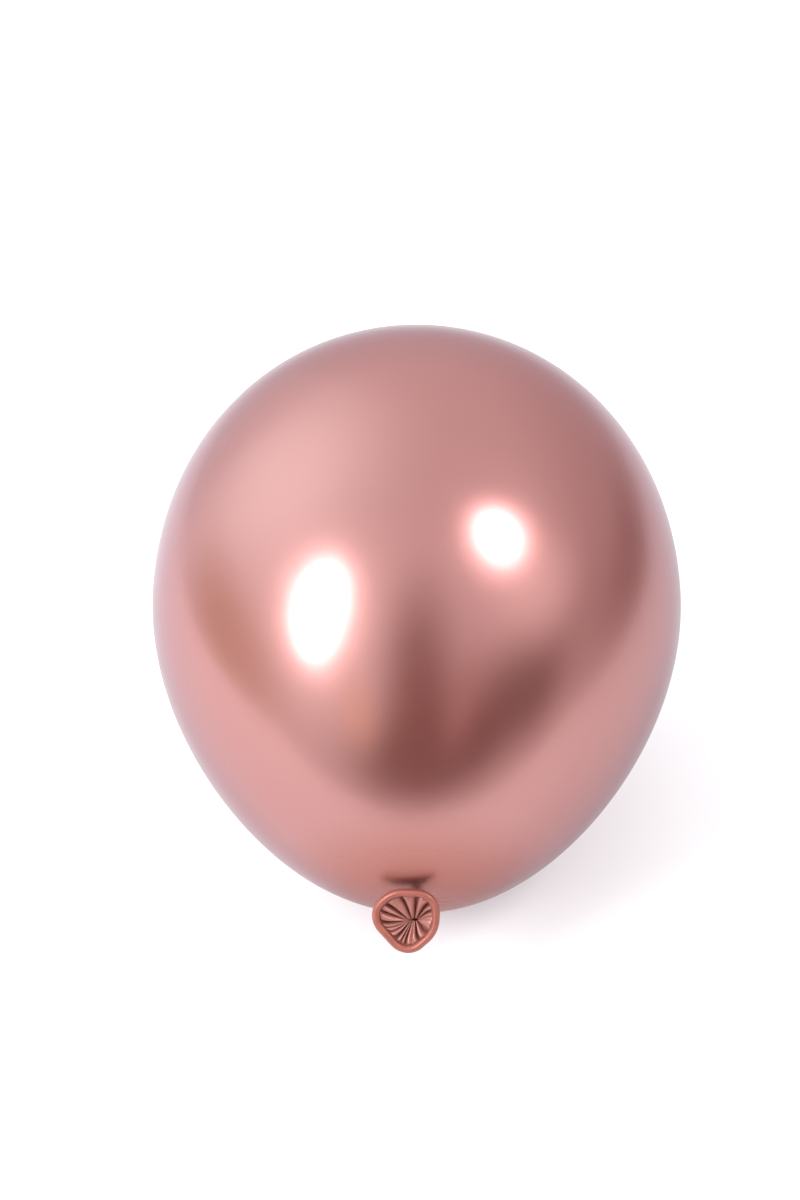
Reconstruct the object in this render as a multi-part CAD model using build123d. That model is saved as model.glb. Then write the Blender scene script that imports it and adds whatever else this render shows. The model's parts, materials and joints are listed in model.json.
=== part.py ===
"""A round latex party balloon, blown up, knotted by hand and lying on its belly.

The balloon is one dipped skin of latex that changes along its length: the
stretched envelope, the neck where the film gathers into pleats, the overhand
knot tied in the gathered rope, the pleated film of the mouth, and the bead that
was rolled on its edge at the factory. Each stretch is one node. The balloon is
drawn about its own axis, crown up, with the widest ring at Z = 0, and is then
laid down: +Y runs towards the crown, the knot hangs low towards -Y, and the
lowest point of the belly is at Z = 0.
"""

from build123d import *
from math import cos, pi, radians, sin, sqrt
import os

# ---------------------------------------------------------------- driving dimensions, mm

# envelope, a body of revolution
girth_diameter = 230.0  # the widest ring
crown_height = 124.3  # from the widest ring up to the crown
collar_drop = 135.0  # from the widest ring down to the collar, where the film gathers
collar_radius = 6.0
crown_spread = 0.55  # how flat the crown is, as a share of the girth radius
crown_shoulder = 0.59  # how full the side is above the widest ring, as a share of the height
base_shoulder = 0.47  # how full the side is below the widest ring, as a share of the drop
base_spread = 0.49  # how flat the base is round the collar, as a share of the girth radius
crown_wall = 0.22
girth_wall = 0.20
collar_wall = 0.25  # the film is stretched least next to the neck

# gathered neck
neck_length = 1.9
neck_pleats = 14
neck_fold = 0.35  # how deep the pleats are

# overhand knot
rope_radius = 1.15  # the neck of film, pulled into a rope
strand_gap = 0.12  # between strands that lie on each other
first_turn = 75  # degrees round the knot where the rope starts to wind
last_turn = 645  # and where it has wound far enough to leave
turn_step = 15

# tail: pleated mouth and rolled bead
tail_bend = 64.5  # degrees between the tail and the balloon's axis
tail_lean = 18.0  # degrees that the tail leans sideways
tail_reach = 13.0  # from the knot's centre to the middle of the mouth
mouth_bend = 57.0  # degrees between the way the mouth faces and the balloon's axis
mouth_lean = 8.0
mouth_half_width = 12.0  # to the middle of the bead
mouth_rise = 11.8  # from the middle of the mouth up to the flat side of the bead
mouth_drop = 13.4  # down to the corner where its two slanting sides would meet
right_shoulder = 2.4  # how far below the middle the slanting sides begin
left_shoulder = 1.3
mouth_corners = [8.0, 8.0, 10.0, 4.0, 7.0]  # how far each is rounded, from the upper left, clockwise
bead_radius = 1.6
mouth_pleats = 18
mouth_fold = 0.6
mouth_film = 0.45  # measured along the way the mouth faces
root_radius = 1.3  # where the pleats come together at the knot
root_fold = 0.35

# fits and rest
seat_gap = 0.15  # between film and bead, which are one skin
body_gap = 0.30  # between pieces that move on each other
rest_pitch = 25.0  # degrees between the axis and the table

# ---------------------------------------------------------------- derived sizes

girth_radius = girth_diameter / 2
lobe = rope_radius  # how far the rope swings in and out as it winds
strand_lift = rope_radius + strand_gap / 2  # how far it swings to each side
winding_radius = lobe + (2 * rope_radius + strand_gap) / sqrt(3)
knot_radius = winding_radius + lobe + rope_radius
waist_z = -(collar_drop + neck_length)
knot_centre = Vector(0, 0, waist_z - body_gap - knot_radius)


def tail_direction(bend, lean):
    """A way out of the knot: bend from straight down, towards -Y, then lean towards -X."""
    side, down = sin(radians(bend)), cos(radians(bend))
    level = cos(radians(lean))
    return Vector(-sin(radians(lean)), -side * level, -down * level)


# ---------------------------------------------------------------- envelope


def egg_profile(girth, crown, drop, collar):
    """Half outline from the crown to the collar, in the XZ plane."""
    above = Bezier(
        (0, 0, crown),
        (crown_spread * girth, 0, crown),
        (girth, 0, crown_shoulder * crown),
        (girth, 0, 0),
    )
    below = Bezier(
        (girth, 0, 0),
        (girth, 0, -base_shoulder * drop),
        (base_spread * girth, 0, -drop),
        (collar, 0, -drop),
    )
    return above, below


def make_envelope():
    """The stretched skin: thin at the crown and the girth, thicker towards the collar."""
    outer = egg_profile(girth_radius, crown_height, collar_drop, collar_radius)
    inner = egg_profile(
        girth_radius - girth_wall,
        crown_height - crown_wall,
        collar_drop - collar_wall,
        collar_radius - collar_wall,
    )
    rim = Line(outer[1] @ 1, inner[1] @ 1)
    tip = Line(outer[0] @ 0, inner[0] @ 0)
    section = make_face(Curve() + [*outer, rim, *inner, tip])
    return revolve(section, Axis.Z, 360)


# ---------------------------------------------------------------- pleated film


def zigzag_ring(plane, radius, fold, pleats):
    """Points of a pleated ring: ridges on the radius, and valleys a fold inside it."""
    points = []
    for i in range(2 * pleats):
        reach = radius - fold * (i % 2)
        angle = pi * i / pleats
        points.append(plane.from_local_coords((reach * cos(angle), reach * sin(angle), 0)))
    return points


def pleated_funnel(wide, narrow, way_in, film):
    """A funnel of folded film between two pleated rings, open at the wide one."""
    ends = [make_face(Polyline(*ring, close=True)) for ring in (wide, narrow)]
    outside = loft(ends, ruled=True)
    return outside - outside.moved(Location(way_in * film))


def make_gathered_neck():
    """The pleats that draw the envelope down to the rope, open on the inside."""
    collar = Plane((0, 0, -collar_drop))
    waist = Plane((0, 0, waist_z))
    wide = zigzag_ring(collar, collar_radius, neck_fold, neck_pleats)
    narrow = zigzag_ring(waist, rope_radius, neck_fold, neck_pleats)
    return pleated_funnel(wide, narrow, Vector(0, 0, 1), collar_wall)


# ---------------------------------------------------------------- overhand knot


def rope_path():
    """The rope of a tight overhand knot, which is a trefoil with one lobe cut open.

    It comes down the neck, winds twice round the knot's middle, swinging out and
    in as it goes over and under itself three times, and leaves along the tail. The
    knot lies flat in the plane of the neck and the tail.
    """
    half_open = (180 - tail_bend) / 2  # degrees from the knot's open side to each end
    to_open_side = Vector(0, -sin(radians(half_open)), cos(radians(half_open)))
    flat = Plane(knot_centre, x_dir=to_open_side, z_dir=(-1, 0, 0))

    def at(radius, turn, lift):
        across, along = radius * cos(radians(turn)), radius * sin(radians(turn))
        return flat.from_local_coords((across, along, lift))

    def winding(turn):
        swing = radians(1.5 * turn)
        return at(winding_radius + lobe * cos(swing), turn, strand_lift * sin(swing))

    winds = [winding(turn) for turn in range(first_turn, last_turn + 1, turn_step)]
    entry = at(knot_radius, half_open, 0)
    leave = at(knot_radius, -half_open, 0)
    return Spline(entry, *winds, leave, tangents=[knot_centre - entry, leave - knot_centre])


def make_overhand_knot():
    path = rope_path()
    rope = Plane(path @ 0, z_dir=path % 0) * Circle(rope_radius)
    return sweep(rope, path=path)


# ---------------------------------------------------------------- tail

mouth_centre = knot_centre + tail_direction(tail_bend, tail_lean) * tail_reach
mouth_facing = tail_direction(mouth_bend, mouth_lean)
mouth_plane = Plane(mouth_centre, x_dir=(1, 0, 0), z_dir=mouth_facing)


def bead_line():
    """The middle of the bead: a blunt five-cornered loop, as the rim springs back when tied."""
    corners = [
        (-mouth_half_width, mouth_rise),
        (mouth_half_width, mouth_rise),
        (mouth_half_width, -right_shoulder),
        (0, -mouth_drop),
        (-mouth_half_width, -left_shoulder),
    ]
    return FilletPolyline(*corners, radius=mouth_corners, close=True)


def make_rolled_bead():
    line = mouth_plane * bead_line()
    roll = Plane(line @ 0, z_dir=line % 0) * Circle(bead_radius)
    return sweep(roll, path=line)


def make_pleated_mouth():
    """The film inside the bead, folded in towards the knot, each pleat on its own spoke."""
    tail = tail_direction(tail_bend, 0)
    root_centre = knot_centre + tail * (knot_radius + body_gap)
    root = Plane(root_centre, x_dir=(1, 0, 0), z_dir=tail)
    line = bead_line()
    wide, narrow = [], []
    for i in range(2 * mouth_pleats):
        in_valley = i % 2
        along = i / (2 * mouth_pleats)
        inward = (line % along).cross(Vector(0, 0, 1))
        spot = (line @ along) + inward * (bead_radius + seat_gap + mouth_fold * in_valley)
        wide.append(mouth_plane.from_local_coords(spot))
        at_root = spot.normalized() * (root_radius - root_fold * in_valley)
        narrow.append(root.from_local_coords(at_root))
    return pleated_funnel(wide, narrow, mouth_facing, mouth_film)


# ---------------------------------------------------------------- laid down and written

upright = {
    "envelope": make_envelope(),
    "gathered_neck": make_gathered_neck(),
    "overhand_knot": make_overhand_knot(),
    "pleated_mouth": make_pleated_mouth(),
    "rolled_bead": make_rolled_bead(),
}
lay_down = Rotation(rest_pitch - 90, 0, 0)
lying = {name: lay_down * shape for name, shape in upright.items()}
box = Compound(list(lying.values())).bounding_box()
to_table = Location((-box.center().X, -box.center().Y, -box.min.Z))

os.makedirs("parts", exist_ok=True)
for name, shape in lying.items():
    export_step(to_table * shape, f"parts/{name}.step")

knot_at = (to_table * lay_down * Location(knot_centre)).position
print(f"knot centre, mm: {knot_at.X:.2f} {knot_at.Y:.2f} {knot_at.Z:.2f}")
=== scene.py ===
import json
from math import atan2, cos, pi, radians, sin, sqrt, tan, tau

import bmesh
import bpy
from mathutils import Matrix, Vector, geometry


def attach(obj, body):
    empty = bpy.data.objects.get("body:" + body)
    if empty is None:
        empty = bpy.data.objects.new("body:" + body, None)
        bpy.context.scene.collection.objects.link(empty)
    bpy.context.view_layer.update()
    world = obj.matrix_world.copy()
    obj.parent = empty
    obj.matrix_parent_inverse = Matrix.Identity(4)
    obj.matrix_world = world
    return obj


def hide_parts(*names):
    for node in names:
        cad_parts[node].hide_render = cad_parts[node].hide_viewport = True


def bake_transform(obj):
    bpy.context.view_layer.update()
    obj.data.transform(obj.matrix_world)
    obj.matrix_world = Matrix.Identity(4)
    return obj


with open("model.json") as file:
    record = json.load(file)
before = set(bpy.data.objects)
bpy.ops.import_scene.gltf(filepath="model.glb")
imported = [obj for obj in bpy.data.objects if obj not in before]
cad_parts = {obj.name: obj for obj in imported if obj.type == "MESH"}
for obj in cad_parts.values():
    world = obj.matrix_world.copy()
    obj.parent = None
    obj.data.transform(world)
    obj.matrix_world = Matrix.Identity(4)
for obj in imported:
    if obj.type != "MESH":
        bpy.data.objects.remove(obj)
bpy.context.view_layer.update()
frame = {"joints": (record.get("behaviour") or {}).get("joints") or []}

# ---------------------------------------------------------------- envelope
# The blown-up skin: one dipped film of latex with a metallic pearl in it, stretched
# tight and smooth over the belly, and thicker and deeper in colour at the crown's tip
# and at the collar, where it is drawn in to fine pleats by the tied neck. The darkening
# at the collar is partly painted shade, where the ring and knot sit close to the film.

girth_radius = 0.115  # all lengths are in metres
crown_height = 0.1243
collar_drop = 0.135
collar_radius = 0.006
knot_drop = 0.142047  # from the widest ring down to the knot's centre
rest_pitch = 25  # degrees between the balloon's axis and the table
film_thickness = 0.0002
segments_round = 224
pleats_round = 14

neck_twist = next(joint for joint in frame["joints"] if joint["name"] == "neck_twist")
knot_centre = Vector(neck_twist["pos_m"])
girth_centre = knot_centre + Vector(neck_twist["axis"]) * knot_drop
on_its_belly = Matrix.Translation(girth_centre) @ Matrix.Rotation(radians(rest_pitch - 90), 4, "X")


def only(piece):
    """Makes this the one selected object, and the active one."""
    bpy.ops.object.select_all(action="DESELECT")
    piece.select_set(True)
    bpy.context.view_layer.objects.active = piece


def pick(piece, wanted):
    """Selects the points of the piece in edit mode that wanted(place) is true of."""
    bpy.ops.mesh.select_all(action="DESELECT")
    mesh = bmesh.from_edit_mesh(piece.data)
    for point in mesh.verts:
        point.select_set(bool(wanted(point.co)))
    mesh.select_flush_mode()
    bmesh.update_edit_mesh(piece.data)


def lay_down(piece, place=Matrix.Identity(4)):
    """Puts a finished piece, made upright, in its place on the lying balloon."""
    only(piece)
    piece.matrix_world = on_its_belly @ place
    bpy.ops.object.transform_apply(location=True, rotation=True, scale=True)


bpy.ops.object.select_all(action="DESELECT")
bpy.ops.curve.primitive_bezier_curve_add(location=(0, 0, 0))
envelope = bpy.context.object
envelope.name = "blown_envelope"
outline = envelope.data.splines[0].bezier_points
outline.add(1)
knots = [
    ((0, crown_height), (-0.55 * girth_radius, crown_height), (0.55 * girth_radius, crown_height)),
    ((girth_radius, 0), (girth_radius, 0.59 * crown_height), (girth_radius, -0.47 * collar_drop)),
    ((collar_radius, -collar_drop), (0.49 * girth_radius, -collar_drop), (0, -collar_drop)),
]
for knot, (spot, before, after) in zip(outline, knots):
    knot.handle_left_type = knot.handle_right_type = "FREE"
    knot.co, knot.handle_left, knot.handle_right = [(x, 0, z) for x, z in (spot, before, after)]
envelope.data.resolution_u = 66
bpy.ops.object.convert(target="MESH")
bpy.ops.object.mode_set(mode="EDIT")
bpy.ops.mesh.select_all(action="SELECT")
bpy.ops.mesh.spin(steps=segments_round, angle=tau, center=(0, 0, 0), axis=(0, 0, 1))
bpy.ops.mesh.select_all(action="SELECT")
bpy.ops.mesh.remove_doubles(threshold=1e-6)
bpy.ops.mesh.normals_make_consistent(inside=False)


def on_a_fold(spot, reach):
    """True on the spokes where the film is drawn in, out to a reach from the axis."""
    turn = atan2(spot.y, spot.x) * pleats_round / tau
    return spot.z < -0.1 and Vector(spot.xy).length < reach and abs(turn - round(turn)) < 0.02


for reach, depth, width in ((0.013, 0.0001, 0.0032), (0.0105, 0.00016, 0.002), (0.0085, 0.00024, 0.0011)):
    pick(envelope, lambda spot: on_a_fold(spot, reach))
    bpy.ops.transform.shrink_fatten(
        value=-depth,
        use_proportional_edit=True,
        proportional_edit_falloff="SMOOTH",
        proportional_size=width,
    )
bpy.ops.object.mode_set(mode="OBJECT")
wall = envelope.modifiers.new("wall", "SOLIDIFY")
wall.thickness = film_thickness
wall.offset = -1
bpy.ops.object.modifier_apply(modifier="wall")
bpy.ops.object.shade_smooth()
lay_down(envelope)


def link(nodes, source, target):
    nodes.id_data.links.new(source, target)


def ranged(nodes, source, low, high, to_low, to_high):
    """Maps a value from one range to another, held at its ends."""
    node = nodes.new("ShaderNodeMapRange")
    node.interpolation_type = "SMOOTHSTEP"
    for name, value in (("From Min", low), ("From Max", high), ("To Min", to_low), ("To Max", to_high)):
        node.inputs[name].default_value = value
    link(nodes, source, node.inputs["Value"])
    return node.outputs["Result"]


def computed(nodes, operation, *terms):
    """One step of arithmetic on values."""
    node = nodes.new("ShaderNodeMath")
    node.operation = operation
    for place, term in enumerate(terms):
        if isinstance(term, (int, float)):
            node.inputs[place].default_value = term
        else:
            link(nodes, term, node.inputs[place])
    return node.outputs[0]


def mixed(nodes, share, one, other):
    """Two colours mixed by a share."""
    node = nodes.new("ShaderNodeMix")
    node.data_type = "RGBA"
    for name, term in (("Factor_Float", share), ("A_Color", one), ("B_Color", other)):
        socket = next(s for s in node.inputs if s.identifier == name)
        if isinstance(term, (tuple, float, int)):
            socket.default_value = term
        else:
            link(nodes, term, socket)
    return next(s for s in node.outputs if s.identifier == "Result_Color")


def grain(nodes, vector, scale, detail=2.0, roughness=0.5):
    node = nodes.new("ShaderNodeTexNoise")
    node.inputs["Scale"].default_value = scale
    node.inputs["Detail"].default_value = detail
    node.inputs["Roughness"].default_value = roughness
    link(nodes, vector, node.inputs["Vector"])
    return node.outputs["Fac"]


def own_coordinates(nodes, place):
    """Object coordinates, turned back into the upright frame that a piece was made in."""
    where = nodes.new("ShaderNodeTexCoord").outputs["Object"]
    back = nodes.new("ShaderNodeMapping")
    back.vector_type = "TEXTURE"
    back.inputs["Location"].default_value = place.to_translation()
    back.inputs["Rotation"].default_value = place.to_euler("XYZ")
    link(nodes, where, back.inputs["Vector"])
    return back.outputs["Vector"]


def new_material(name):
    material = bpy.data.materials.new(name)
    material.use_nodes = True
    return material, material.node_tree.nodes, material.node_tree.nodes["Principled BSDF"]


pearl, nodes, shader = new_material("rose_gold_pearl_film")
shader.inputs["Metallic"].default_value = 1.0
shader.inputs["Specular Tint"].default_value = (0.78, 0.76, 0.84, 1)
shader.inputs["Coat Weight"].default_value = 0.28
shader.inputs["Coat Roughness"].default_value = 0.3
where = own_coordinates(nodes, on_its_belly)
parts = nodes.new("ShaderNodeSeparateXYZ")
link(nodes, where, parts.inputs[0])
height = parts.outputs["Z"]
cloud = grain(nodes, where, 26, 4)
flakes = grain(nodes, where, 2600, 1)
tight_film = (0.440, 0.208, 0.200, 1)
slack_film_and_painted_shade = (0.360, 0.126, 0.100, 1)
# Darker and deeper in colour towards the collar: partly the thicker slack film there, and partly painted
# shade where the ring and knot sit close against the film.
collar_thickening_and_shade = ranged(nodes, height, -0.137, -0.112, 1.0, 0.0)
near_tip = ranged(nodes, height, 0.1236, 0.1243, 0.0, 0.6)
colour = mixed(nodes, collar_thickening_and_shade, tight_film, slack_film_and_painted_shade)
colour = mixed(nodes, near_tip, colour, slack_film_and_painted_shade)
colour = mixed(nodes, ranged(nodes, cloud, 0.3, 0.7, 0.0, 0.05), colour, (0.52, 0.27, 0.25, 1))
colour = mixed(nodes, ranged(nodes, flakes, 0.35, 0.65, 0.0, 0.06), colour, (0.34, 0.13, 0.12, 1))
link(nodes, colour, shader.inputs["Base Color"])
dull = computed(nodes, "MULTIPLY", ranged(nodes, height, -0.1355, -0.122, 1.0, 0.0), 0.16)
link(
    nodes,
    computed(nodes, "ADD", ranged(nodes, cloud, 0.3, 0.7, 0.225, 0.255), dull),
    shader.inputs["Roughness"],
)
bump = nodes.new("ShaderNodeBump")
bump.inputs["Strength"].default_value = 0.04
bump.inputs["Distance"].default_value = 0.0001
link(nodes, flakes, bump.inputs["Height"])
link(nodes, bump.outputs["Normal"], shader.inputs["Normal"])
envelope.data.materials.append(pearl)

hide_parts("envelope")
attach(envelope, "skin")

# ---------------------------------------------------------------- gathered neck
# The same film where the tie squeezes it from the collar down to a thin rope of fine
# pleats, which runs on into the knot.

points_per_pleat = 6
rope_radius = 0.00115
neck_rings = [  # how far below the collar, how far out the ridges are, and how deep the folds;
    # the first ones lie tucked behind the envelope's film
    (-0.0008, 0.0067, 0.0001),
    (-0.0004, 0.0062, 0.0001),
    (0.0000, 0.0055, 0.0003),
    (0.0004, 0.0042, 0.0005),
    (0.0008, 0.0027, 0.0004),
    (0.0013, 0.0017, 0.00025),
    (0.0019, 0.00122, 0.00014),
    (0.0022, 0.00112, 0.0001),
    (0.0026, 0.00108, 0.0001),
    (0.0031, 0.00105, 0.0001),
    (0.0040, 0.00100, 0.0001),
]

bpy.ops.object.select_all(action="DESELECT")
bpy.ops.mesh.primitive_circle_add(vertices=pleats_round * points_per_pleat, radius=1, location=(0, 0, 0))
neck = bpy.context.object
neck.name = "neck_pleats"
bpy.ops.object.mode_set(mode="EDIT")
for _ in neck_rings[1:]:
    bpy.ops.mesh.extrude_region_move(TRANSFORM_OT_translate={"value": (0, 0, -1)})
bpy.ops.object.mode_set(mode="OBJECT")
for point in neck.data.vertices:
    drop, reach, fold = neck_rings[round(-point.co.z)]
    turn = atan2(point.co.y, point.co.x)
    reach -= fold * (0.5 - 0.5 * cos(turn * pleats_round))
    point.co = (reach * cos(turn), reach * sin(turn), -collar_drop - drop)
bpy.ops.object.mode_set(mode="EDIT")
bpy.ops.mesh.select_all(action="SELECT")
bpy.ops.mesh.normals_make_consistent(inside=False)
bpy.ops.object.mode_set(mode="OBJECT")
for kind, settings in (
    ("SOLIDIFY", {"thickness": 0.00025, "offset": -1}),
    ("SUBSURF", {"levels": 1, "render_levels": 1}),
):
    step = neck.modifiers.new("step", kind)
    for name, value in settings.items():
        setattr(step, name, value)
    bpy.ops.object.modifier_apply(modifier="step")
bpy.ops.object.shade_smooth()
lay_down(neck)


def satin_latex(name, deep, pale):
    """Unstretched pearl latex: satin, a little blotchy, with a trace of packing powder."""
    material, nodes, shader = new_material(name)
    shader.inputs["Metallic"].default_value = 0.3
    shader.inputs["Specular Tint"].default_value = (1.0, 0.86, 0.80, 1)
    shader.inputs["Coat Weight"].default_value = 0.12
    shader.inputs["Coat Roughness"].default_value = 0.3
    where = nodes.new("ShaderNodeTexCoord").outputs["Object"]
    blotches = grain(nodes, where, 210, 3)
    powder = grain(nodes, where, 5200, 2)
    colour = mixed(nodes, ranged(nodes, blotches, 0.3, 0.7, 0.0, 1.0), deep, pale)
    colour = mixed(nodes, ranged(nodes, powder, 0.45, 0.75, 0.0, 0.12), colour, (0.46, 0.21, 0.18, 1))
    link(nodes, colour, shader.inputs["Base Color"])
    link(nodes, ranged(nodes, blotches, 0.3, 0.7, 0.36, 0.46), shader.inputs["Roughness"])
    bump = nodes.new("ShaderNodeBump")
    bump.inputs["Strength"].default_value = 0.15
    bump.inputs["Distance"].default_value = 0.00006
    link(nodes, powder, bump.inputs["Height"])
    link(nodes, bump.outputs["Normal"], shader.inputs["Normal"])
    return material


slack_deep, slack_pale = (0.31, 0.122, 0.103, 1), (0.36, 0.148, 0.126, 1)
slack = satin_latex("slack_satin_latex", slack_deep, slack_pale)
neck.data.materials.append(slack)

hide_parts("gathered_neck")
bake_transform(neck)

# ---------------------------------------------------------------- overhand knot
# The rope of gathered film tied once round itself and pulled tight by hand: a trefoil
# with one lobe cut open, so that it goes over and under itself three times.

tail_bend = 66  # degrees between the tail and the balloon's axis
strand_gap = 0.0002  # between strands that lie on each other
strand_lift = rope_radius + strand_gap / 2  # how far the rope swings to each side, and out and in
winding_radius = strand_lift + (2 * rope_radius + strand_gap) / sqrt(3)
strand_radius = 0.0012
strand_folds = 9
first_turn, last_turn, turn_step = 90, 630, 15  # degrees round the knot
end_reach = 0.0043  # from the knot's centre to the rope's two ends
way_in_reach, way_in_turn, way_in_lift = 0.0036, 6, 0.00115  # where it dives into the knot
knot_at = Vector((0, 0, -knot_drop))


def tail_direction(bend, lean):
    """A way out of the knot: bend from straight down, towards -Y, then lean towards -X."""
    side, down, level = sin(radians(bend)), cos(radians(bend)), cos(radians(lean))
    return Vector((-sin(radians(lean)), -side * level, -down * level))


half_open = (180 - tail_bend) / 2
open_side = Vector((0, -sin(radians(half_open)), cos(radians(half_open))))
knot_frame = [open_side, Vector((-1, 0, 0)).cross(open_side), Vector((-1, 0, 0))]


def on_the_knot(radius, turn, lift):
    """A point of the knot, from its middle: out, round from its open side, and up from its plane."""
    spot = (radius * cos(radians(turn)), radius * sin(radians(turn)), lift)
    return knot_at + sum((way * length for way, length in zip(knot_frame, spot)), Vector())


entry = on_the_knot(end_reach, half_open, 0)
leave = on_the_knot(end_reach, -half_open, 0)
route = [entry, on_the_knot(way_in_reach, half_open + way_in_turn, way_in_lift)]
for turn in range(first_turn, last_turn + 1, turn_step):
    swing = radians(1.5 * turn)
    reach = winding_radius + strand_lift * cos(swing)
    route.append(on_the_knot(reach, turn, strand_lift * sin(swing)))
route += [on_the_knot(way_in_reach, -half_open - way_in_turn, -way_in_lift), leave]

bpy.ops.object.select_all(action="DESELECT")
bpy.ops.curve.primitive_bezier_circle_add(radius=strand_radius, location=(0, 0, 0))
strand = bpy.context.object
strand.data.resolution_u = 1
bpy.ops.object.mode_set(mode="EDIT")
bpy.ops.curve.select_all(action="SELECT")
for _ in range(3):
    bpy.ops.curve.subdivide(number_cuts=1)
bpy.ops.object.mode_set(mode="OBJECT")
for place, spot in enumerate(strand.data.splines[0].bezier_points):
    turn = atan2(spot.co.y, spot.co.x)
    reach = strand_radius * (1 - 0.09 * (1 + cos(strand_folds * turn)) / 2 - 0.05 * sin(2 * turn + 1))
    spot.co = (reach * cos(turn), reach * sin(turn), 0)
    spot.handle_left_type = spot.handle_right_type = "AUTO"
strand.data.resolution_u = 2

bpy.ops.curve.primitive_bezier_curve_add(location=(0, 0, 0))
knot = bpy.context.object
knot.name = "tied_knot"
knot.data.dimensions = "3D"
winds = knot.data.splines[0].bezier_points
winds.add(len(route) - 2)
for place, (wind, spot) in enumerate(zip(winds, route)):
    wind.handle_left_type = wind.handle_right_type = "AUTO"
    wind.co = spot
    wind.tilt = 0.16 * place
knot.data.resolution_u = 4
knot.data.bevel_mode = "OBJECT"
knot.data.bevel_object = strand
knot.data.use_fill_caps = True
only(knot)
bpy.ops.object.convert(target="MESH")
bpy.data.objects.remove(strand)
bpy.ops.object.mode_set(mode="EDIT")
bpy.ops.mesh.select_all(action="SELECT")
bpy.ops.mesh.remove_doubles(threshold=1e-6)
bpy.ops.mesh.normals_make_consistent(inside=False)
bpy.ops.object.mode_set(mode="OBJECT")
bpy.ops.object.shade_smooth()
lay_down(knot)
knot.data.materials.append(slack)
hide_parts("overhand_knot")
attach(knot, "knot")

# ---------------------------------------------------------------- rolled bead
# The factory's bead: the rim of the dipped film rolled over itself into a soft ring,
# which the tied neck pulls into a blunt five-cornered loop.

mouth_bend, mouth_lean, tail_lean = 53, 8, 21.8  # degrees
tail_reach = 0.0128  # from the knot's centre to the middle of the mouth
bead_radius = 0.0016
bead_corners = [  # across the mouth, up it, and how far each corner is rounded
    (-0.0048, 0.0121, 0.0116),
    (0.0123, 0.0121, 0.0078),
    (0.0123, -0.0037, 0.0132),
    (0.0000, -0.0151, 0.0074),
    (-0.0161, 0.0027, 0.0084),
]

mouth_facing = tail_direction(mouth_bend, mouth_lean)
mouth_middle = knot_at + tail_direction(tail_bend, tail_lean) * tail_reach
across = (Vector((1, 0, 0)) - mouth_facing * mouth_facing.x).normalized()
mouth_place = Matrix((across, mouth_facing.cross(across), mouth_facing)).transposed().to_4x4()
mouth_place.translation = mouth_middle


def rounded_loop(corners):
    """The Bezier knots of a loop with arcs for corners: each one's handle, place and handle."""
    places = [Vector((x, y, 0)) for x, y, _ in corners]
    arcs = []
    for i, (place, (_, _, radius)) in enumerate(zip(places, corners)):
        back = (places[i - 1] - place).normalized()
        on = (places[(i + 1) % len(places)] - place).normalized()
        half = back.angle(on) / 2
        cut = radius / tan(half)
        handle = 4 / 3 * tan((pi / 2 - half) / 2) * radius
        starts, ends = place + back * cut, place + on * cut
        arcs.append((starts, starts - back * handle, ends - on * handle, ends))
    knots = []
    for i, (starts, leaving, arriving, ends) in enumerate(arcs):
        previous_end, next_start = arcs[i - 1][3], arcs[(i + 1) % len(arcs)][0]
        knots.append((starts.lerp(previous_end, 1 / 3), starts, leaving))
        knots.append((arriving, ends, ends.lerp(next_start, 1 / 3)))
    return knots


loop = rounded_loop(bead_corners)
bpy.ops.object.select_all(action="DESELECT")
bpy.ops.curve.primitive_bezier_circle_add(location=(0, 0, 0))
bead = bpy.context.object
bead.name = "rolled_rim"
bead.data.dimensions = "3D"
rim = bead.data.splines[0].bezier_points
rim.add(len(loop) - 4)
for place, (knot_point, (before, spot, after)) in enumerate(zip(rim, loop)):
    knot_point.handle_left_type = knot_point.handle_right_type = "FREE"
    knot_point.handle_left, knot_point.co, knot_point.handle_right = before, spot, after
    knot_point.radius = 1 + 0.035 * sin(2.3 * place + 0.6)
bead.data.resolution_u = 14
bead.data.bevel_depth = bead_radius
bead.data.bevel_resolution = 10
bpy.ops.object.convert(target="MESH")
bpy.ops.object.mode_set(mode="EDIT")
bpy.ops.mesh.select_all(action="SELECT")
bpy.ops.mesh.remove_doubles(threshold=1e-6)
bpy.ops.mesh.normals_make_consistent(inside=False)
bpy.ops.object.mode_set(mode="OBJECT")
bpy.ops.object.shade_smooth()
lay_down(bead, mouth_place)
bead.data.materials.append(
    satin_latex("rolled_satin_latex", (0.25, 0.072, 0.054, 1), (0.28, 0.084, 0.064, 1))
)
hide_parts("rolled_bead")
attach(bead, "tail")

# ---------------------------------------------------------------- pleated mouth
# The slack film inside the bead, drawn in to a short slit above the knot, so that it
# lies in uneven pleats like the folds of a purse, and out of sight in a thin rope.
# Painted shade darkens its fold valleys, more the deeper they lie.

# painted shade: the dark colour that the fold valleys are painted towards
painted_fold_shade = (0.13, 0.032, 0.022, 1)
slit_middle = Vector((0.0023, -0.0009, 0))
slit_length, slit_width = 0.0034, 0.0003
sway = radians(7)  # how far the folds bend aside on their way in
tuck = 0.0010  # from the bead's middle line in to the film's edge under it
folds = [  # degrees round the mouth of a valley, and of the ridge after it, and the valley's depth
    (108, 96, 1.0), (70, 57, 1.0), (38, 31, 1.0), (23, 17, 0.8), (9, -5, 0.4), (-28, -44, 1.0),
    (-55, -66, 1.0), (-73, -82, 0.4), (-92, -98, 0.8), (-104, -110, 0.6), (-120, -132, 1.0),
    (-143, -152, 0.6), (-160, -165, 0.5), (-173, -183, 1.0), (-197, -205, 0.9), (-214, -226, 1.0),
]
steep_side = [(0.0, 0.0), (0.28, 0.1), (0.5, 0.5), (0.75, 0.92)]  # share of the way, and height
easy_side = [(0.0, 1.0), (0.35, 0.96), (0.7, 0.78), (0.92, 0.32)]
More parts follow.
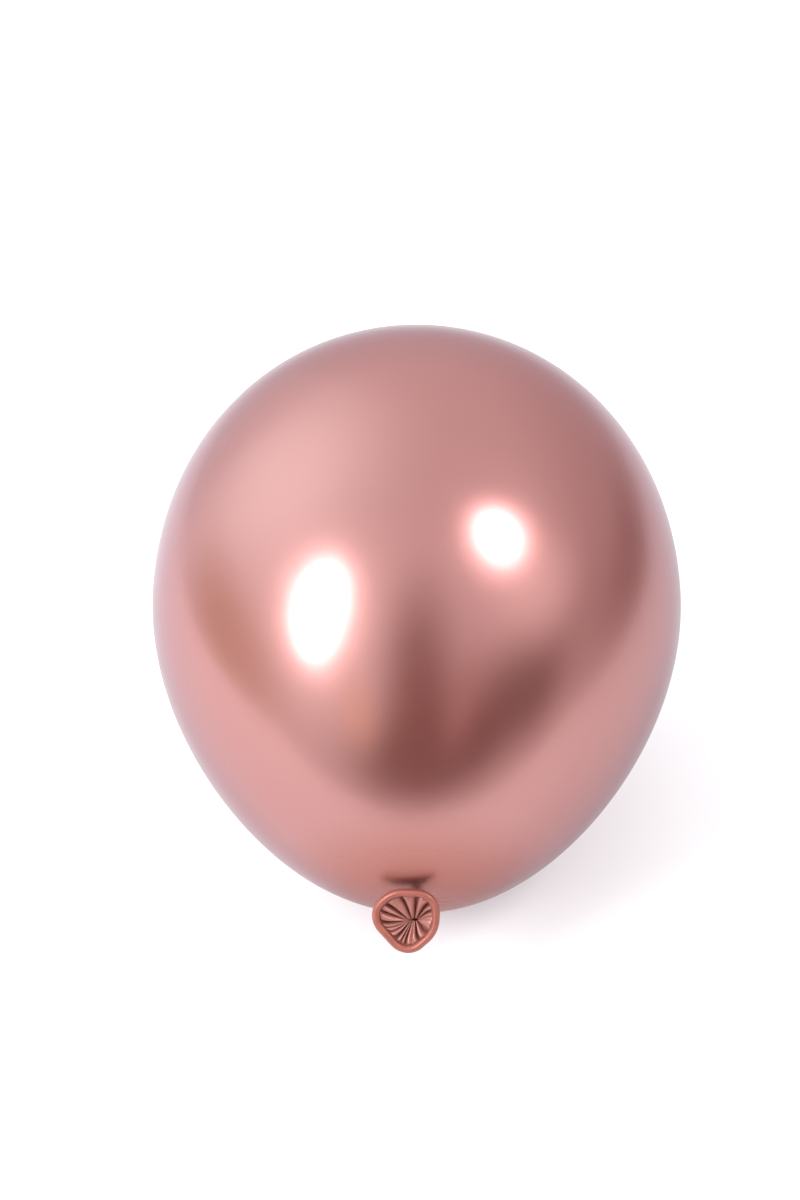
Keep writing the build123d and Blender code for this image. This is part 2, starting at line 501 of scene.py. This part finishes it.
stations = [  # share of the way in to the slit, depth of the ridges there, and of the valleys
    (0.00, 0.0009, 0.0013),
    (0.04, 0.0008, 0.0018),
    (0.09, 0.0004, 0.0024),
    (0.16, 0.0004, 0.0031),
    (0.26, 0.0006, 0.0037),
    (0.40, 0.0011, 0.0041),
    (0.54, 0.0017, 0.0043),
    (0.68, 0.0024, 0.0045),
    (0.82, 0.0032, 0.0047),
    (0.93, 0.0039, 0.0049),
    (1.00, 0.0045, 0.0050),
]
rope_rings = [  # how far from the knot's centre, and how far out
    (0.00515, 0.00120),
    (0.00495, 0.00112),
    (0.00475, 0.00108),
    (0.00455, 0.00105),
    (0.00435, 0.00103),
    (0.00410, 0.00100),
    (0.00360, 0.00098),
]
rope_fold = 0.0001

loop_line = []
for i, (_, spot, after) in enumerate(loop):
    before, end, _ = loop[(i + 1) % len(loop)]
    loop_line += geometry.interpolate_bezier(spot, after, before, end, 24)[:-1]


def rim_at(turn):
    """The film's place beside the bead, so many radians round the mouth."""
    way = Vector((cos(turn), sin(turn), 0))
    nearest = max(loop_line, key=lambda spot: spot.normalized().dot(way))
    return way * (nearest.length - tuck)


spokes = []  # each one's turn round the mouth, height from its valley, and its valley's depth
for i, (valley, ridge, depth) in enumerate(folds):
    next_valley, _, next_depth = folds[(i + 1) % len(folds)]
    next_valley -= 360 if next_valley > ridge else 0
    for start, end, side, sunk in (
        (valley, ridge, steep_side, depth),
        (ridge, next_valley, easy_side, next_depth),
    ):
        spokes += [(radians(start + (end - start) * share), high, sunk) for share, high in side]

bpy.ops.object.select_all(action="DESELECT")
bpy.ops.mesh.primitive_circle_add(vertices=len(spokes), radius=1, location=(0, 0, 0))
mouth = bpy.context.object
mouth.name = "mouth_folds"
bpy.ops.object.mode_set(mode="EDIT")
for _ in range(len(stations) + len(rope_rings) - 1):
    bpy.ops.mesh.extrude_region_move(TRANSFORM_OT_translate={"value": (0, 0, -1)})
bpy.ops.object.mode_set(mode="OBJECT")
tail_rope = mouth_place.inverted() @ knot_at
# each point's share of painted shade, more the deeper it lies in its valley
painted_shade_share = mouth.data.attributes.new("painted_shade_share", "FLOAT", "POINT")
rope_way = (mouth_place.inverted().to_3x3() @ tail_direction(tail_bend, 0)).normalized()
for point, shade in zip(mouth.data.vertices, painted_shade_share.data):
    ring = round(-point.co.z)
    place = round(atan2(point.co.y, point.co.x) / tau * len(spokes)) % len(spokes)
    turn, high, depth = spokes[-place]
    shade.value = depth * (1 - high)
    if ring < len(stations):
        turn += sway * sin(2 * turn + 0.6) * sin(pi * stations[ring][0])
    way = Vector((cos(turn), sin(turn), 0))
    slit_spot = slit_middle + Vector((way.x * slit_length / 2, way.y * slit_width / 2 + way.x * 0.0003, 0))
    if ring < len(stations):
        share, ridge_depth, valley_depth = stations[ring]
        point.co = rim_at(turn).lerp(slit_spot, share)
        point.co.z = -ridge_depth - (valley_depth - ridge_depth) * depth * (1 - high)
    else:
        along, reach = rope_rings[ring - len(stations)]
        point.co = tail_rope + rope_way * along + way * (reach - rope_fold * depth * (1 - high))
bpy.ops.object.mode_set(mode="EDIT")
bpy.ops.mesh.select_all(action="SELECT")
bpy.ops.mesh.normals_make_consistent(inside=False)
bpy.ops.object.mode_set(mode="OBJECT")
if sum(face.normal.z for face in mouth.data.polygons) < 0:
    mouth.data.flip_normals()
for kind, settings in (
    ("SOLIDIFY", {"thickness": 0.0003, "offset": -1}),
    ("SUBSURF", {"levels": 1, "render_levels": 1}),
):
    step = mouth.modifiers.new("step", kind)
    for name, value in settings.items():
        setattr(step, name, value)
    bpy.ops.object.modifier_apply(modifier="step")
bpy.ops.object.shade_smooth()
lay_down(mouth, mouth_place)
folded = satin_latex("folded_latex_painted_shade", slack_deep, slack_pale)
nodes = folded.node_tree.nodes
base = nodes["Principled BSDF"].inputs["Base Color"]
# painted shade in the folds: the base colour is darkened by each point's share of it
painted_shade_attribute = nodes.new("ShaderNodeAttribute")
painted_shade_attribute.attribute_name = "painted_shade_share"
share = ranged(nodes, painted_shade_attribute.outputs["Fac"], 0.35, 1.0, 0.0, 0.85)
link(nodes, mixed(nodes, share, base.links[0].from_socket, painted_fold_shade), base)
mouth.data.materials.append(folded)
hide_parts("pleated_mouth")
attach(mouth, "tail")

# ---------------------------------------------------------------- studio
# A pale table sheet that runs on without an edge, two soft boxes, two dim fills, and
# the room: bright round the table, with a window, and dark and warm behind the camera.

sheet, nodes, shader = new_material("white_sheet")
shader.inputs["Base Color"].default_value = (0.705, 0.72, 0.725, 1)
shader.inputs["Roughness"].default_value = 0.9
shader.inputs["Emission Color"].default_value = (0.88, 0.86, 1.0, 1)
seen = nodes.new("ShaderNodeLightPath").outputs["Is Camera Ray"]
link(nodes, computed(nodes, "MULTIPLY", seen, 0.18), shader.inputs["Emission Strength"])
bpy.ops.object.select_all(action="DESELECT")
for name, corner, far_corner, level in (
    ("table_sheet", (-0.65, -0.42), (0.85, 1.7), 0),
    ("floor", (-7, -7), (7, 7), -0.0005),
):
    bpy.ops.mesh.primitive_plane_add(size=1, location=(0, 0, 0))
    table = bpy.context.object
    table.name = name
    table.scale = (far_corner[0] - corner[0], far_corner[1] - corner[1], 1)
    table.location = ((far_corner[0] + corner[0]) / 2, (far_corner[1] + corner[1]) / 2, level)
    table.data.materials.append(sheet)
    table.visible_glossy = name == "table_sheet"


def toward(azimuth, elevation):
    """The way to a light: azimuth from the front, towards +X, and elevation, in degrees."""
    a, e = radians(azimuth), radians(elevation)
    return Vector((sin(a) * cos(e), -cos(a) * cos(e), sin(e)))


def soft_box(name, azimuth, elevation, across, tall, brightness, distance=2.0):
    """An elliptical soft box of so many degrees across and tall, facing the balloon."""
    way = toward(azimuth, elevation)
    width, height = [2 * distance * tan(radians(angle) / 2) for angle in (across, tall)]
    bpy.ops.object.light_add(type="AREA", location=girth_centre + way * distance)
    lamp = bpy.context.object
    lamp.name = name
    lamp.rotation_euler = way.to_track_quat("Z", "Y").to_euler()
    lamp.data.shape = "ELLIPSE"
    lamp.data.size, lamp.data.size_y = width, height
    lamp.data.energy = brightness * pi * pi * width * height / 4
    lamp.visible_camera = False
    return lamp


soft_box("key_box", -50.5, 32, 18, 29, 15.0)
soft_box("top_box", 64, 54, 18, 20, 11.0)
for name, azimuth, elevation, across, brightness in (
    ("window_fill", -95, 35, 60, 2.4),
    ("front_fill", 35, 22, 50, 1.5),
):
    fill = soft_box(name, azimuth, elevation, across, across, brightness, 0.9)
    fill.visible_glossy = False

room = bpy.data.worlds.new("room")
bpy.context.scene.world = room
room.use_nodes = True
nodes = room.node_tree.nodes
nodes.clear()
out = nodes.new("ShaderNodeOutputWorld")
way = nodes.new("ShaderNodeTexCoord").outputs["Generated"]


def seen_along(ways):
    """How far a way out into the room goes along each of the given ways."""
    for along in ways:
        dot = nodes.new("ShaderNodeVectorMath")
        dot.operation = "DOT_PRODUCT"
        dot.inputs[1].default_value = along
        link(nodes, way, dot.inputs[0])
        yield dot.outputs["Value"]


def patch(azimuth, elevation, across, tall, softness, tilt=0):
    """1 in an oval of the room, so many degrees across and tall, fading to 0 round it."""
    centre = toward(azimuth, elevation)
    sideways = Vector((cos(radians(azimuth)), sin(radians(azimuth)), 0))
    turn = Matrix.Rotation(radians(tilt), 3, centre)
    sideways, upward = turn @ sideways, turn @ centre.cross(sideways)
    half_across, half_tall = sin(radians(across / 2)), sin(radians(tall / 2))
    ahead, right, rise = seen_along((centre, sideways / half_across, upward / half_tall))
    squares = [computed(nodes, "MULTIPLY", term, term) for term in (right, rise)]
    reach = computed(nodes, "SQRT", computed(nodes, "ADD", *squares))
    inside = ranged(nodes, reach, 1 - softness, 1 + softness, 1.0, 0.0)
    return computed(nodes, "MULTIPLY", inside, computed(nodes, "GREATER_THAN", ahead, 0.0))


colour = (1.36, 1.36, 1.34, 1)
for azimuth, elevation, across, tall, softness, tilt, seen in (
    (130, 78, 120, 110, 0.8, 0, (1.20, 1.16, 1.15, 1)),
    (-112, 37, 57, 61, 0.8, 0, (1.95, 2.24, 2.24, 1)),  # the window side
    (140, -18, 110, 60, 0.7, 0, (0.96, 0.84, 0.85, 1)),
    (110, 3, 110, 70, 0.7, 0, (0.88, 0.77, 0.77, 1)),  # the far corner, in shade
    (110, -1, 44, 18, 0.6, 0, (0.60, 0.44, 0.43, 1)),
    (12, 2, 100, 34, 0.5, 10, (0.42, 0.26, 0.24, 1)),  # the dark room behind the camera
    (0, 24, 27, 50, 0.7, 0, (0.46, 0.27, 0.24, 1)),
    (51, 11, 26, 28, 0.6, 0, (0.38, 0.24, 0.22, 1)),
    (21, 16, 12, 25, 0.8, -35, (0.90, 0.68, 0.64, 1)),
    (64, 31, 31, 26, 0.8, 0, (1.66, 1.66, 1.62, 1)),
    (-46, 28, 36, 62, 0.9, 0, (1.58, 1.70, 1.66, 1)),
    (-27, 10, 15, 16, 0.8, 0, (1.60, 1.42, 1.10, 1)),
    (-87, -4, 46, 26, 0.7, 0, (1.12, 0.94, 0.74, 1)),  # a wooden floor
):
    colour = mixed(nodes, patch(azimuth, elevation, across, tall, softness, tilt), colour, seen)
rays = nodes.new("ShaderNodeLightPath").outputs
shown = nodes.new("ShaderNodeBackground")
shown.inputs["Color"].default_value = (1, 1, 1, 1)
shown.inputs["Strength"].default_value = 1.05
lit = nodes.new("ShaderNodeBackground")
link(nodes, colour, lit.inputs["Color"])
link(nodes, ranged(nodes, rays["Is Diffuse Ray"], 0.0, 1.0, 1.0, 0.86), lit.inputs["Strength"])
choose = nodes.new("ShaderNodeMixShader")
link(nodes, rays["Is Camera Ray"], choose.inputs[0])
link(nodes, lit.outputs[0], choose.inputs[1])
link(nodes, shown.outputs[0], choose.inputs[2])
link(nodes, choose.outputs[0], out.inputs["Surface"])

bpy.context.scene.view_settings.view_transform = "Standard"

# ---------------------------------------------------------------- camera
# It looks down on the balloon from the front, a metre away.

camera_elevation = 39.5
camera_distance = 1.05
camera_left, camera_up = 0.0072, 0.0028
facing_camera = toward(0, camera_elevation)
up = Vector((0, sin(radians(camera_elevation)), cos(radians(camera_elevation))))
bpy.ops.object.camera_add()
camera = bpy.context.object
aside = up * camera_up - Vector((camera_left, 0, 0))
camera.location = girth_centre + facing_camera * camera_distance + aside
camera.rotation_euler = facing_camera.to_track_quat("Z", "Y").to_euler()
camera.data.lens = 72
camera.data.sensor_width = 36
camera.data.clip_start = 0.01
bpy.context.scene.camera = camera
